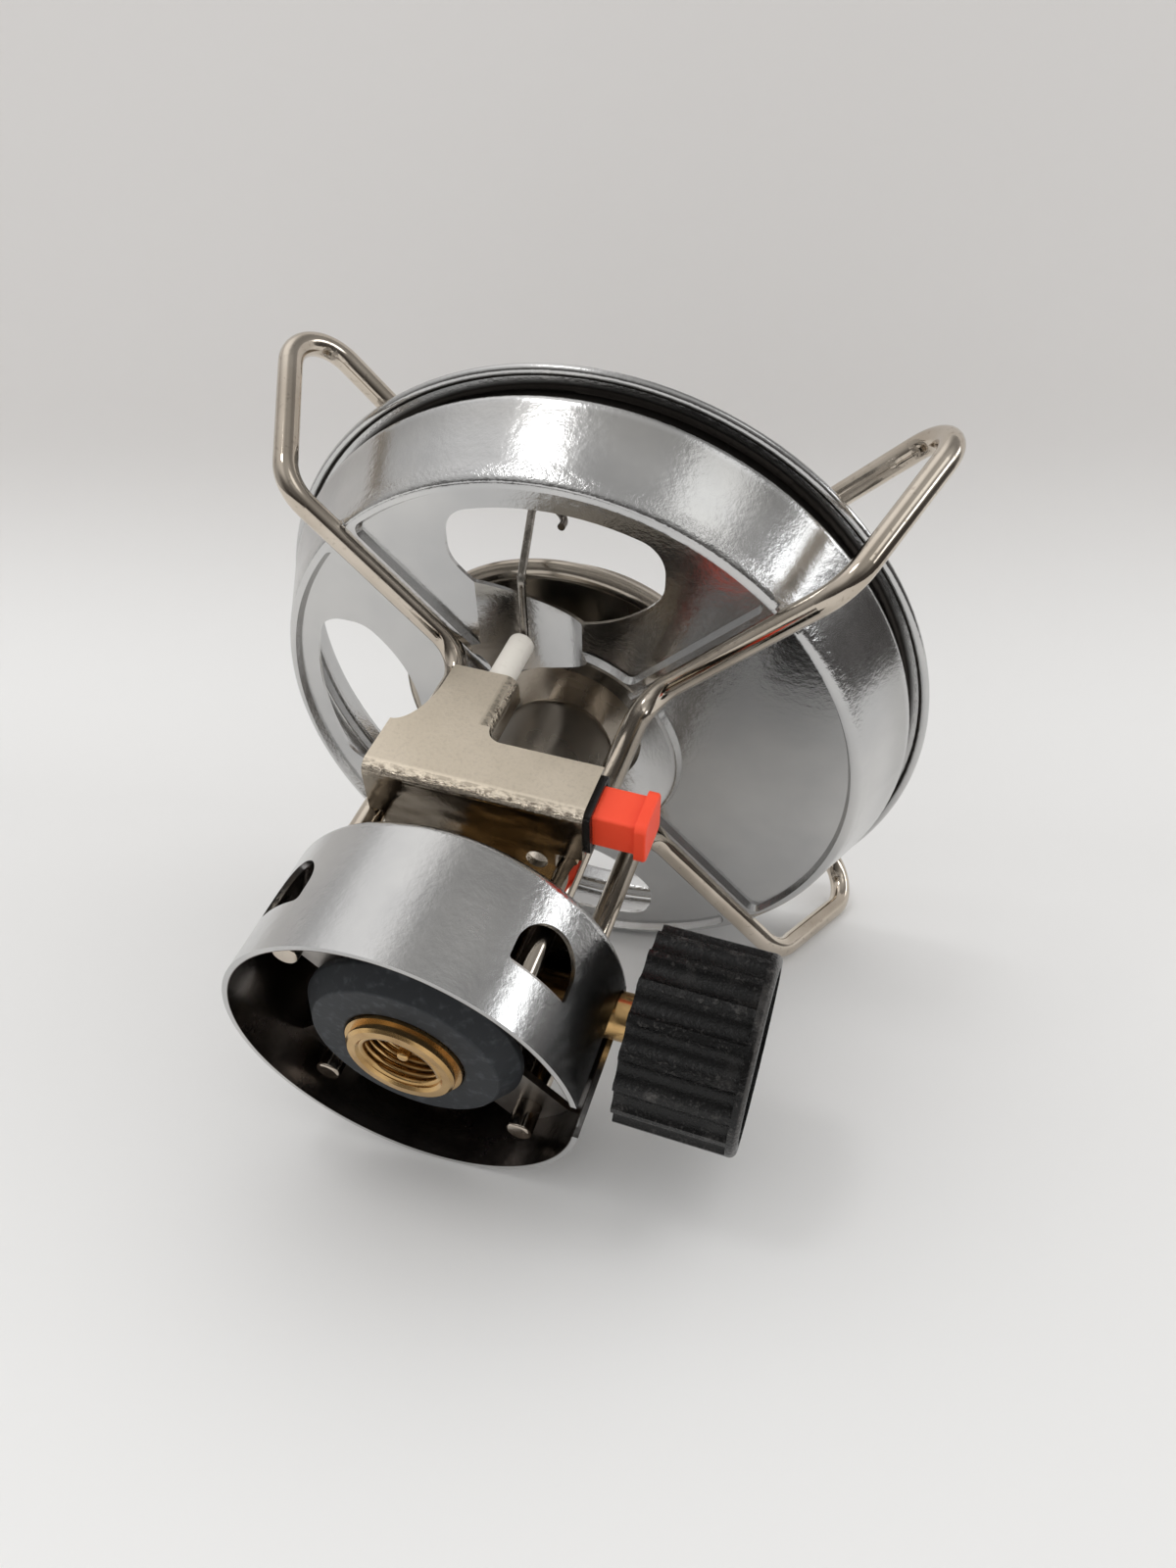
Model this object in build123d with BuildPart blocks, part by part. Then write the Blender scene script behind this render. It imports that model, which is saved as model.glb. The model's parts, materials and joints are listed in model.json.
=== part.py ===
from build123d import *
import os
from math import cos, radians, sin, sqrt, tan

os.makedirs("parts", exist_ok=True)

# Camping stove that screws on a gas canister, upright on its collar.
# +Z runs from the collar's open rim (z = 0) to the pot supports, +X points to the
# control knob and -Y to the piezo igniter. The canister thread lies on the Z axis.

# ---------------------------------------------------------------- fits
seat_gap = 0.02  # fixed piece in its seat, per side
turn_gap = 0.05  # spindle turning in the valve, per side
slide_gap = 0.2  # push button sliding in its housing, per side
clear_gap = 0.3  # moving piece beside a fixed one

# ---------------------------------------------------------------- collar
collar_radius = 24.0
collar_height = 20.4
collar_sheet = 0.8
collar_corner = 1.8
vent_half_width = 4.6
vent_base = 7.2
vent_height = 7.4
vent_corner = 0.8
slot_half_width = 3.85

# ---------------------------------------------------------------- canister joint
thread_radius = 5.56  # 7/16-28 UNEF, major radius
thread_depth = 7.4
thread_chamfer = 0.4
boss_radius = 7.4
boss_face = 0.3
boss_chamfer = 0.4
shoulder_radius = 8.0
shoulder_face = 1.7
pad_face = 2.05
pad_face_radius = 12.7
pad_radius = 14.8
pad_lip = 2.8  # height over which the pad's edge widens
pad_thickness = 3.95
pad_edge = 0.5
backing_radius = 13.2
backing_sheet = 1.0
pin_radius = 0.85
pin_tip = 1.3
inlet_seal_height = 1.0
inlet_seal_width = 1.6

# ---------------------------------------------------------------- inner plate
spider_sheet = 1.0
spider_hub_radius = 13.6
spider_arm_width = 10.6

# ---------------------------------------------------------------- valve
block_radius = 9.0
neck_radius = 6.0
gas_passage_radius = 1.1
inlet_offset = 3.4
spindle_height = 15.7  # height of the spindle's axis
spindle_radius = 3.2
stem_radius = 2.0  # thinner part inside the valve
needle_start = 2.6
barrel_radius = 3.7
barrel_end = 17.0
gland_radius = 3.8
gland_length = 3.6
gland_chamfer = 0.5
oring_wire_radius = 0.4
oring_place = 13.0
collar_nut_flats = 16.0
collar_nut_height = 5.8
collar_nut_hex = 3.6
collar_nut_step = 0.6  # how far the round part stands inside the flats
jet_flats = 13.0
jet_hex = 2.4
jet_cone_radius = 3.5
jet_cone_taper = 18.0
jet_length = 6.5
jet_bore_radius = 0.5

# ---------------------------------------------------------------- knob
knob_start = 26.9
knob_length = 15.5
knob_radius = 12.8
knob_rim = 1.3  # plain disc beyond the flutes
knob_edge = 0.9
knob_dish = 0.5
knob_face_rim = 1.6
knob_flutes = 18
flute_radius = 2.2
flute_depth = 0.95
shank_radius = 2.3
shank_length = 10.0

# ---------------------------------------------------------------- wire pot supports
wire_radius = 1.8
wire_end_round = 0.4
leg_circle = 20.0
leg_end = 2.8
leg_bend = 6.0
rise_foot = 56.1  # radius where the rising wire would meet the lower run
rise_angle = 60.0
knee_bend = 7.0
rest_height = 90.3  # top of the pot rest
tip_bend = 6.5
rest_inner = 32.5
first_support = 45.0
support_azimuths = [first_support + 90.0 * quarter for quarter in range(4)]

# ---------------------------------------------------------------- bowl
bowl_base = 59.5
bowl_sheet = 0.6
hub_opening_radius = 12.4
hub_rise = 4.3  # height of the opening's edge over the bowl's floor
hub_margin = 0.5  # flat ring between the hub's cone and the petals
hub_bend = 1.2
petal_inner = 19.5
petal_rise = 1.1
petal_corner = 1.6
petal_slope = 25.0
petal_margin = 1.1  # flat ring between the petals and the wall's foot
ridge_half_width = 2.9
groove_depth = 1.9
wall_foot_radius = 46.9
wall_foot_bend = 1.4
wall_radius = 52.8
wall_top = 72.4
neck_in_radius = 50.6
neck_step = 1.0
neck_bend = 0.9
flange_height = 77.2
flange_radius = 54.8
rim_roll = 0.8
hole_azimuths = (180.0, 270.0, 90.0)
hole_inner = 24.2
hole_outer = 42.3
hole_half_width = 16.0
hole_corner = 5.0
hole_nose_radius = 20.0
channel_half_width = 8.1
channel_rise = 3.3
channel_middle = -4.1
channel_lead = 1.0
channel_overrun = 6.0

# ---------------------------------------------------------------- burner
tube_radius = 8.8
tube_sheet = 0.8
tube_shoulder = 62.6
tube_shoulder_bend = 2.6
tube_neck_radius = 5.0
tube_foot_bend = 0.6
air_hole_radius = 2.4
air_hole_height = 36.0
pan_height = 68.0
pan_sheet = 0.8
pan_rim_radius = 29.6
pan_roll = 1.5
head_radius = 22.0
head_height = 6.2
head_sheet = 0.9
port_count = 30
port_width = 1.2
port_sill = 1.2
cap_radius = 23.4
cap_sheet = 1.0
cap_crown = 1.4
cap_crown_radius = 17.0
cap_bend = 1.2

# ---------------------------------------------------------------- piezo unit
piezo_depth = 7.1
piezo_height = 8.0
piezo_left = -13.4
piezo_right = 16.4
piezo_wall = 1.2
piezo_corner = 0.8
button_width = 5.4  # along Y
button_height = 5.7
button_travel = 4.6
button_stop = 0.9  # lip's distance from the housing when pressed
button_corner = 0.4
button_lip = 1.5
button_lip_rim = 0.7
hammer_radius = 1.9
hammer_length = 6.0
crystal_radius = 2.2
crystal_length = 5.0
anvil_length = 2.0

# ---------------------------------------------------------------- igniter bracket
bracket_sheet = 1.0
bracket_bend = 1.3
bracket_left = -14.0
bracket_right = 15.7
bracket_face_height = 9.0
arm_left = -10.1
arm_right = -0.7
arm_height = 21.5
arm_sweep = 8.8
arm_crotch = 2.4
arm_lip = 4.3
tab_margin = 0.3
tab_straight = 6.8
tab_end_radius = 8.4
tab_hole_right = 9.5
tab_hole_depth = 2.0
tab_hole_radius = 1.5

# ---------------------------------------------------------------- electrode
ceramic_radius = 1.95
ceramic_top = 58.2
ceramic_edge = 0.6
ceramic_axis = -4.3
electrode_radius = 0.6
electrode_bend = 1.4
electrode_exit = 1.0  # height above the ceramic tube where the electrode turns outward
electrode_exit_bend = 0.9
electrode_run_end = 31.6
electrode_tip = [(-6.9, -34.9, 71.0), (-7.6, -33.2, 77.6), (-4.0, -30.0, 77.2), (-4.0, -30.1, 74.9)]

# ---------------------------------------------------------------- derived places
collar_inside = collar_radius - collar_sheet
collar_ceiling = collar_height - collar_sheet
pad_back = pad_face + pad_thickness
backing_back = pad_back + backing_sheet
spider_top = backing_back + spider_sheet
gland_end = barrel_end + gland_length
needle_tip = needle_start + clear_gap
bracket_base = collar_height + collar_nut_height
bracket_floor = bracket_base + bracket_sheet
face_top = bracket_base + bracket_face_height
arm_top = bracket_base + arm_height
lip_run = bracket_bend + bracket_sheet
jet_seat = bracket_floor + tube_sheet
run_height = bowl_base + groove_depth - wire_radius  # axis of the wire's lower run
rest_axis = rest_height - wire_radius
rise_top = rise_foot + (rest_axis - run_height) / tan(radians(rise_angle))
hub_foot_radius = petal_inner - hub_margin
hub_edge = bowl_base + hub_rise
petal_outer = wall_foot_radius - petal_margin
channel_radius = (channel_half_width**2 + channel_rise**2) / (2 * channel_rise)
channel_axis = bowl_base + petal_rise + channel_rise - channel_radius
# The piezo housing is held between the bracket's face and the two nearest legs.
piezo_back = -leg_circle * sin(radians(first_support)) - wire_radius - seat_gap
piezo_middle = piezo_back - piezo_depth / 2
tab_half_width = leg_circle * cos(radians(first_support)) - wire_radius - tab_margin
bracket_front = piezo_back - piezo_depth - seat_gap - bracket_sheet
piezo_top = bracket_floor + piezo_height
piezo_center = bracket_floor + piezo_height / 2
crystal_start = piezo_left + piezo_wall
anvil_end = crystal_start + crystal_length + anvil_length
electrode_run_height = ceramic_top + electrode_exit
button_inner_end = anvil_end + button_travel + clear_gap + hammer_length
button_reach = piezo_right + button_travel + button_stop
ceramic_row = bracket_front + bracket_sheet + ceramic_radius + seat_gap
pan_roll_circle = pan_rim_radius - pan_roll
head_base = pan_height + pan_sheet
head_top = head_base + head_height

BELOW = (Align.CENTER, Align.MAX)
SPINDLE = Plane(origin=(0, 0, spindle_height), x_dir=(0, 1, 0), z_dir=(1, 0, 0))
PIEZO = Plane(origin=(0, piezo_middle, piezo_center), x_dir=(0, 1, 0), z_dir=(1, 0, 0))


def radial_plane(azimuth):
    """Upright plane through the Z axis, facing outward at the azimuth."""
    turn = radians(azimuth)
    return Plane(origin=(0, 0, 0), x_dir=(-sin(turn), cos(turn), 0), z_dir=(cos(turn), sin(turn), 0))


def section_plane(azimuth):
    """Upright plane that holds the Z axis and the radius at the azimuth."""
    turn = radians(azimuth)
    return Plane(origin=(0, 0, 0), x_dir=(cos(turn), sin(turn), 0), z_dir=(sin(turn), -cos(turn), 0))


# ================================================================ collar
with BuildSketch() as vent_outline:
    with BuildLine():
        vent_spring = vent_base + vent_height - vent_half_width
        Polyline((-vent_half_width, vent_spring), (-vent_half_width, vent_base),
                 (vent_half_width, vent_base), (vent_half_width, vent_spring))
        CenterArc((0, vent_spring), vent_half_width, 0, 180)
    make_face()
    fillet(vent_outline.vertices().group_by(Axis.Y)[0], vent_corner)

with BuildPart() as collar:
    with BuildSketch(Plane.XZ):
        with BuildLine():
            half = collar_sheet / 2
            FilletPolyline((collar_radius - half, 0), (collar_radius - half, collar_height - half),
                           (neck_radius + seat_gap, collar_height - half), radius=collar_corner - half)
        trace(line_width=collar_sheet)
    revolve(axis=Axis.Z)
    for azimuth in support_azimuths:
        with BuildSketch(radial_plane(azimuth)):
            add(vent_outline.sketch)
        extrude(amount=2 * collar_radius, mode=Mode.SUBTRACT)
    # slot for the spindle, open at the rim
    with BuildSketch(SPINDLE):
        Circle(slot_half_width)
        Rectangle(2 * slot_half_width, collar_height, align=BELOW)
    extrude(amount=2 * collar_radius, mode=Mode.SUBTRACT)
    with BuildSketch(Plane.XY.offset(collar_ceiling)):
        with PolarLocations(leg_circle, 4, start_angle=first_support):
            Circle(wire_radius + seat_gap)
    extrude(amount=collar_sheet, mode=Mode.SUBTRACT)
collar.part.label = "collar"
export_step(collar.part, "parts/collar.step")

# ================================================================ inner plate
with BuildPart() as spider_plate:
    with BuildSketch(Plane.XY.offset(backing_back)) as spider_outline:
        Rectangle(2 * collar_radius, spider_arm_width, rotation=first_support)
        Rectangle(2 * collar_radius, spider_arm_width, rotation=first_support + 90)
        Circle(spider_hub_radius)
        Circle(collar_inside - seat_gap, mode=Mode.INTERSECT)
        Circle(shoulder_radius + seat_gap, mode=Mode.SUBTRACT)
        with PolarLocations(leg_circle, 4, start_angle=first_support):
            Circle(wire_radius + seat_gap, mode=Mode.SUBTRACT)
    extrude(amount=spider_sheet)
spider_plate.part.label = "spider_plate"
export_step(spider_plate.part, "parts/spider_plate.step")

# ================================================================ canister joint
with BuildPart() as canister_pad:
    with BuildSketch(Plane.XZ):
        with BuildLine():
            Polyline((shoulder_radius + seat_gap, pad_face), (pad_face_radius, pad_face),
                     (pad_radius, pad_face + pad_lip), (pad_radius, pad_back),
                     (shoulder_radius + seat_gap, pad_back), close=True)
        make_face()
    revolve(axis=Axis.Z)
    fillet(canister_pad.edges().filter_by(GeomType.CIRCLE).sort_by(SortBy.RADIUS)[-4:], pad_edge)
canister_pad.part.label = "canister_pad"
export_step(canister_pad.part, "parts/canister_pad.step")

with BuildPart() as pad_backing:
    with BuildSketch(Plane.XY.offset(pad_back)):
        Circle(backing_radius)
        Circle(shoulder_radius + seat_gap, mode=Mode.SUBTRACT)
    extrude(amount=backing_sheet)
pad_backing.part.label = "pad_backing"
export_step(pad_backing.part, "parts/pad_backing.step")

# ================================================================ valve
with BuildPart() as valve_body:
    with BuildSketch(Plane.XZ):
        with BuildLine():
            Polyline((0, boss_face), (boss_radius, boss_face), (boss_radius, shoulder_face),
                     (shoulder_radius, shoulder_face), (shoulder_radius, spider_top),
                     (block_radius, spider_top), (block_radius, collar_ceiling),
                     (neck_radius, collar_ceiling), (neck_radius, jet_seat), (0, jet_seat), close=True)
        make_face()
    revolve(axis=Axis.Z)
    chamfer(valve_body.edges().group_by(Axis.Z)[0], boss_chamfer)
    with BuildSketch(SPINDLE):
        Circle(barrel_radius)
    extrude(amount=barrel_end)
    # threaded socket for the canister, then the gas passages
    with BuildSketch(Plane.XY.offset(boss_face)):
        Circle(thread_radius)
    extrude(amount=thread_depth, mode=Mode.SUBTRACT)
    chamfer(valve_body.edges().filter_by(GeomType.CIRCLE).group_by(Axis.Z)[0].sort_by(SortBy.RADIUS)[0],
            thread_chamfer)
    with BuildSketch(Plane.XY.offset(boss_face + thread_depth)):
        with Locations((inlet_offset, 0)):
            Circle(gas_passage_radius)
    extrude(amount=spindle_height - boss_face - thread_depth, mode=Mode.SUBTRACT)
    with BuildSketch(Plane.XY.offset(spindle_height)):
        Circle(gas_passage_radius)
    extrude(amount=jet_seat - spindle_height, mode=Mode.SUBTRACT)
    with BuildSketch(SPINDLE):
        Circle(gas_passage_radius)
    extrude(amount=needle_start, mode=Mode.SUBTRACT)
    with BuildSketch(SPINDLE.offset(needle_start)):
        Circle(stem_radius + turn_gap)
    extrude(amount=barrel_end - needle_start, mode=Mode.SUBTRACT)
valve_body.part.label = "valve_body"
export_step(valve_body.part, "parts/valve_body.step")

with BuildPart() as depressor_pin:
    with BuildSketch(Plane.XY.offset(pin_tip)):
        Circle(pin_radius)
    extrude(amount=boss_face + thread_depth - pin_tip)
    fillet(depressor_pin.edges().group_by(Axis.Z)[0], pin_radius / 2)
depressor_pin.part.label = "depressor_pin"
export_step(depressor_pin.part, "parts/depressor_pin.step")

with BuildPart() as inlet_seal:
    with BuildSketch(Plane.XY.offset(boss_face + thread_depth - inlet_seal_height)):
        Circle(thread_radius - seat_gap)
        Circle(thread_radius - inlet_seal_width, mode=Mode.SUBTRACT)
    extrude(amount=inlet_seal_height)
inlet_seal.part.label = "inlet_seal"
export_step(inlet_seal.part, "parts/inlet_seal.step")

with BuildPart() as gland_nut:
    with BuildSketch(SPINDLE.offset(barrel_end)):
        Circle(gland_radius)
        Circle(stem_radius + turn_gap, mode=Mode.SUBTRACT)
    extrude(amount=gland_length)
    chamfer(gland_nut.edges().group_by(Axis.X)[-1].sort_by(SortBy.RADIUS)[-1], gland_chamfer)
gland_nut.part.label = "gland_nut"
export_step(gland_nut.part, "parts/gland_nut.step")

with BuildPart() as collar_nut:
    with BuildSketch(Plane.XY.offset(collar_height)):
        RegularPolygon(collar_nut_flats / 2, 6, major_radius=False)
    extrude(amount=collar_nut_hex)
    with BuildSketch(Plane.XY.offset(collar_height + collar_nut_hex)):
        Circle(collar_nut_flats / 2 - collar_nut_step)
    extrude(amount=collar_nut_height - collar_nut_hex)
    with BuildSketch(Plane.XY.offset(collar_height)):
        Circle(neck_radius + seat_gap)
    extrude(amount=collar_nut_height, mode=Mode.SUBTRACT)
collar_nut.part.label = "collar_nut"
export_step(collar_nut.part, "parts/collar_nut.step")

with BuildPart() as jet:
    with BuildSketch(Plane.XY.offset(jet_seat)):
        RegularPolygon(jet_flats / 2, 6, major_radius=False)
    extrude(amount=jet_hex)
    with BuildSketch(Plane.XY.offset(jet_seat + jet_hex)):
        Circle(jet_cone_radius)
    extrude(amount=jet_length - jet_hex, taper=jet_cone_taper)
    with BuildSketch(Plane.XY.offset(jet_seat)):
        Circle(jet_bore_radius)
    extrude(amount=jet_length, mode=Mode.SUBTRACT)
jet.part.label = "jet"
export_step(jet.part, "parts/jet.step")

# ================================================================ spindle and knob
with BuildPart() as spindle:
    with BuildSketch(Plane.XZ):
        with BuildLine():
            Polyline((needle_tip, spindle_height),
                     (needle_tip + stem_radius, spindle_height + stem_radius),
                     (gland_end + clear_gap, spindle_height + stem_radius),
                     (gland_end + clear_gap, spindle_height + spindle_radius),
                     (knob_start, spindle_height + spindle_radius),
                     (knob_start, spindle_height + shank_radius),
                     (knob_start + shank_length, spindle_height + shank_radius),
                     (knob_start + shank_length, spindle_height), close=True)
        make_face()
    revolve(axis=Axis((0, 0, spindle_height), (1, 0, 0)))
    with BuildSketch(SPINDLE.offset(oring_place - oring_wire_radius)):
        Circle(spindle_radius)
        Circle(stem_radius - 2 * oring_wire_radius, mode=Mode.SUBTRACT)
    extrude(amount=2 * oring_wire_radius, mode=Mode.SUBTRACT)
spindle.part.label = "spindle"
export_step(spindle.part, "parts/spindle.step")

with BuildPart() as spindle_oring:
    with BuildSketch(Plane.XZ):
        with Locations((oring_place, spindle_height + stem_radius - oring_wire_radius)):
            Circle(oring_wire_radius - seat_gap)
    revolve(axis=Axis((0, 0, spindle_height), (1, 0, 0)))
spindle_oring.part.label = "spindle_oring"
export_step(spindle_oring.part, "parts/spindle_oring.step")

with BuildPart() as knob:
    with BuildSketch(SPINDLE.offset(knob_start)):
        Circle(knob_radius)
        with PolarLocations(knob_radius + flute_radius - flute_depth, knob_flutes):
            Circle(flute_radius, mode=Mode.SUBTRACT)
    extrude(amount=knob_length - knob_rim)
    with BuildSketch(SPINDLE.offset(knob_start + knob_length - knob_rim)):
        Circle(knob_radius)
    extrude(amount=knob_rim)
    fillet(knob.faces().sort_by(Axis.X)[-1].edges(), knob_edge)
    with BuildSketch(SPINDLE.offset(knob_start + knob_length - knob_dish)):
        Circle(knob_radius - knob_face_rim)
    extrude(amount=knob_dish, mode=Mode.SUBTRACT)
    with BuildSketch(SPINDLE.offset(knob_start)):
        Circle(shank_radius + seat_gap)
    extrude(amount=shank_length + seat_gap, mode=Mode.SUBTRACT)
knob.part.label = "knob"
export_step(knob.part, "parts/knob.step")

# ================================================================ wire pot supports
for number, azimuth in enumerate(support_azimuths, start=1):
    with BuildPart() as pot_support:
        with BuildLine(section_plane(azimuth)) as wire_route:
            FilletPolyline((leg_circle, leg_end), (leg_circle, run_height), (rise_foot, run_height),
                           (rise_top, rest_axis), (rest_inner, rest_axis),
                           radius=(leg_bend, knee_bend, tip_bend))
        with BuildSketch(Plane(origin=wire_route.line @ 0, z_dir=wire_route.line % 0)):
            Circle(wire_radius)
        sweep(path=wire_route.line)
        wire_ends = pot_support.edges().filter_by(GeomType.CIRCLE)
        fillet([wire_ends.sort_by(Axis.Z)[0], wire_ends.sort_by_distance((0, 0, rest_axis))[0]],
               wire_end_round)
    pot_support.part.label = f"pot_support_{number}"
    export_step(pot_support.part, f"parts/pot_support_{number}.step")

# ================================================================ bowl
with BuildSketch() as petal_hole:
    Circle(hole_outer)
    with Locations((hole_inner, 0)):
        Rectangle(hole_outer, 2 * hole_half_width, align=(Align.MIN, Align.CENTER), mode=Mode.INTERSECT)
    with Locations((hole_inner + hole_nose_radius, 0)):
        Circle(hole_nose_radius, mode=Mode.INTERSECT)
    fillet(petal_hole.vertices(), hole_corner)

# The inward side of a sloped petal wall lies this much nearer the ridges.
slope_shift = bowl_sheet * tan(radians(petal_slope / 2))
# The sheet is thicker when cut level through the leaning wall, or upright through the hub.
hub_slope = hub_rise / (hub_foot_radius - hub_opening_radius)
hub_upright = bowl_sheet * sqrt(1 + hub_slope**2) / 2
wall_slope = (wall_radius - wall_foot_radius) / (wall_top - bowl_base)
wall_level = bowl_sheet * sqrt(1 + wall_slope**2) / 2
with BuildPart() as bowl:
    with BuildSketch(Plane.XZ):
        with BuildLine():
            half = bowl_sheet / 2
            FilletPolyline((hub_opening_radius - bowl_sheet, hub_edge + hub_upright + hub_slope * bowl_sheet),
                           (hub_foot_radius + (hub_upright - half) / hub_slope, bowl_base + half),
                           (wall_foot_radius + wall_slope * half - wall_level, bowl_base + half),
                           (wall_radius - wall_slope * half - wall_level, wall_top - half),
                           (neck_in_radius + half, wall_top + neck_step),
                           (neck_in_radius + half, flange_height - half),
                           (flange_radius - rim_roll, flange_height - half),
                           radius=(hub_bend, wall_foot_bend, neck_bend, neck_bend, neck_bend))
        trace(line_width=bowl_sheet)
        with Locations((flange_radius - rim_roll, flange_height - rim_roll)):
            Circle(rim_roll)
    revolve(axis=Axis.Z)
    # upper sides of the raised petals, of the grooves over the wires and of the channel
    with BuildSketch(Plane.XY.offset(bowl_base + bowl_sheet)) as petal_tops:
        Circle(petal_outer + slope_shift)
        Circle(petal_inner - slope_shift, mode=Mode.SUBTRACT)
        for azimuth in support_azimuths[:2]:
            Rectangle(3 * petal_outer, 2 * (ridge_half_width - slope_shift), rotation=azimuth,
                      mode=Mode.SUBTRACT)
        fillet(petal_tops.vertices(), petal_corner + slope_shift)
    extrude(amount=petal_rise, taper=petal_slope)
    for azimuth in support_azimuths:
        with BuildSketch(radial_plane(azimuth).offset(hub_opening_radius)):
            with Locations((0, run_height)):
                Circle(wire_radius + bowl_sheet)
                Rectangle(4 * wire_radius, 4 * wire_radius, align=BELOW, mode=Mode.SUBTRACT)
        extrude(amount=wall_radius - hub_opening_radius)
    with BuildSketch(Plane.XZ.offset(hub_opening_radius - channel_lead)) as channel_top:
        with Locations((channel_middle, channel_axis)):
            Circle(channel_radius + bowl_sheet)
        with Locations((channel_middle, bowl_base)):
            Rectangle(3 * channel_radius, 3 * channel_radius, align=BELOW, mode=Mode.SUBTRACT)
    extrude(amount=channel_lead + hole_inner + channel_overrun - hub_opening_radius)
    # nothing of them stays under the hub's cone or outside the wall
    with BuildSketch(Plane.XZ):
        with BuildLine():
            Polyline((0, bowl_base), (hub_foot_radius, bowl_base), (hub_opening_radius, hub_edge), (0, hub_edge),
                     close=True)
        make_face()
        with BuildLine():
            Polyline((wall_foot_radius, bowl_base), (wall_radius, wall_top), (2 * wall_radius, wall_top),
                     (2 * wall_radius, bowl_base), close=True)
        make_face()
    revolve(axis=Axis.Z, mode=Mode.SUBTRACT)
    # lower sides of the same
    with BuildSketch(Plane.XY.offset(bowl_base)) as petals:
        Circle(petal_outer)
        Circle(petal_inner, mode=Mode.SUBTRACT)
        for azimuth in support_azimuths[:2]:
            Rectangle(3 * petal_outer, 2 * ridge_half_width, rotation=azimuth, mode=Mode.SUBTRACT)
        fillet(petals.vertices(), petal_corner)
    extrude(amount=petal_rise, taper=petal_slope, mode=Mode.SUBTRACT)
    for azimuth in support_azimuths:
        with BuildSketch(radial_plane(azimuth).offset(petal_inner / 2)):
            with Locations((0, run_height)):
                Circle(wire_radius + seat_gap)
        extrude(amount=2 * wall_radius, mode=Mode.SUBTRACT)
    with BuildSketch(Plane.XZ.offset(petal_inner / 2)):
        with Locations((channel_middle, channel_axis)):
            Circle(channel_radius)
    extrude(amount=hole_inner + channel_overrun - petal_inner / 2, mode=Mode.SUBTRACT)
    # holes through three petals and the round opening for the mixing tube
    with BuildSketch(Plane.XY.offset(bowl_base - bowl_sheet)):
        for azimuth in hole_azimuths:
            add(petal_hole.sketch.rotate(Axis.Z, azimuth))
        Circle(hub_opening_radius)
    extrude(amount=petal_rise + channel_rise + hub_rise + 2 * bowl_sheet, mode=Mode.SUBTRACT)
bowl.part.label = "bowl"
export_step(bowl.part, "parts/bowl.step")

# ================================================================ burner
with BuildPart() as mixing_tube:
    with BuildSketch(Plane.XZ):
        with BuildLine():
            half = tube_sheet / 2
            FilletPolyline((neck_radius + seat_gap, bracket_floor + half),
                           (tube_radius - half, bracket_floor + half),
                           (tube_radius - half, tube_shoulder - half),
                           (tube_neck_radius - half, tube_shoulder - half),
                           (tube_neck_radius - half, pan_height + pan_sheet),
                           radius=(tube_foot_bend, tube_shoulder_bend, tube_foot_bend))
        trace(line_width=tube_sheet)
    revolve(axis=Axis.Z)
    with BuildSketch(Plane.XZ.offset(-2 * tube_radius)):
        with Locations((0, air_hole_height)):
            Circle(air_hole_radius)
    extrude(amount=4 * tube_radius, mode=Mode.SUBTRACT)
    with BuildSketch(Plane.YZ.offset(-2 * tube_radius)):
        with Locations((0, air_hole_height)):
            Circle(air_hole_radius)
    extrude(amount=4 * tube_radius, mode=Mode.SUBTRACT)
mixing_tube.part.label = "mixing_tube"
export_step(mixing_tube.part, "parts/mixing_tube.step")

with BuildPart() as burner_pan:
    with BuildSketch(Plane.XZ):
        with Locations((tube_neck_radius + seat_gap, pan_height)):
            Rectangle(pan_roll_circle - tube_neck_radius - seat_gap, pan_sheet, align=Align.MIN)
        with Locations((pan_roll_circle, pan_height + pan_sheet - pan_roll)):
            Circle(pan_roll)
            Circle(pan_roll - pan_sheet, mode=Mode.SUBTRACT)
    revolve(axis=Axis.Z)
burner_pan.part.label = "burner_pan"
export_step(burner_pan.part, "parts/burner_pan.step")

with BuildPart() as burner_head:
    with BuildSketch(Plane.XY.offset(head_base)):
        Circle(head_radius)
        Circle(head_radius - head_sheet, mode=Mode.SUBTRACT)
    extrude(amount=head_height)
    with BuildSketch(Plane.XY.offset(head_base + port_sill)):
        with PolarLocations(head_radius, port_count):
            Rectangle(4 * head_sheet, port_width)
    extrude(amount=head_height - 2 * port_sill, mode=Mode.SUBTRACT)
burner_head.part.label = "burner_head"
export_step(burner_head.part, "parts/burner_head.step")

with BuildPart() as burner_cap:
    with BuildSketch(Plane.XZ):
        with BuildLine():
            half = cap_sheet / 2
            FilletPolyline((0, head_top + cap_crown + half),
                           (cap_crown_radius - cap_crown, head_top + cap_crown + half),
                           (cap_crown_radius, head_top + half), (cap_radius, head_top + half),
                           radius=cap_bend)
        trace(line_width=cap_sheet)
    revolve(axis=Axis.Z)
burner_cap.part.label = "burner_cap"
export_step(burner_cap.part, "parts/burner_cap.step")

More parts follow.
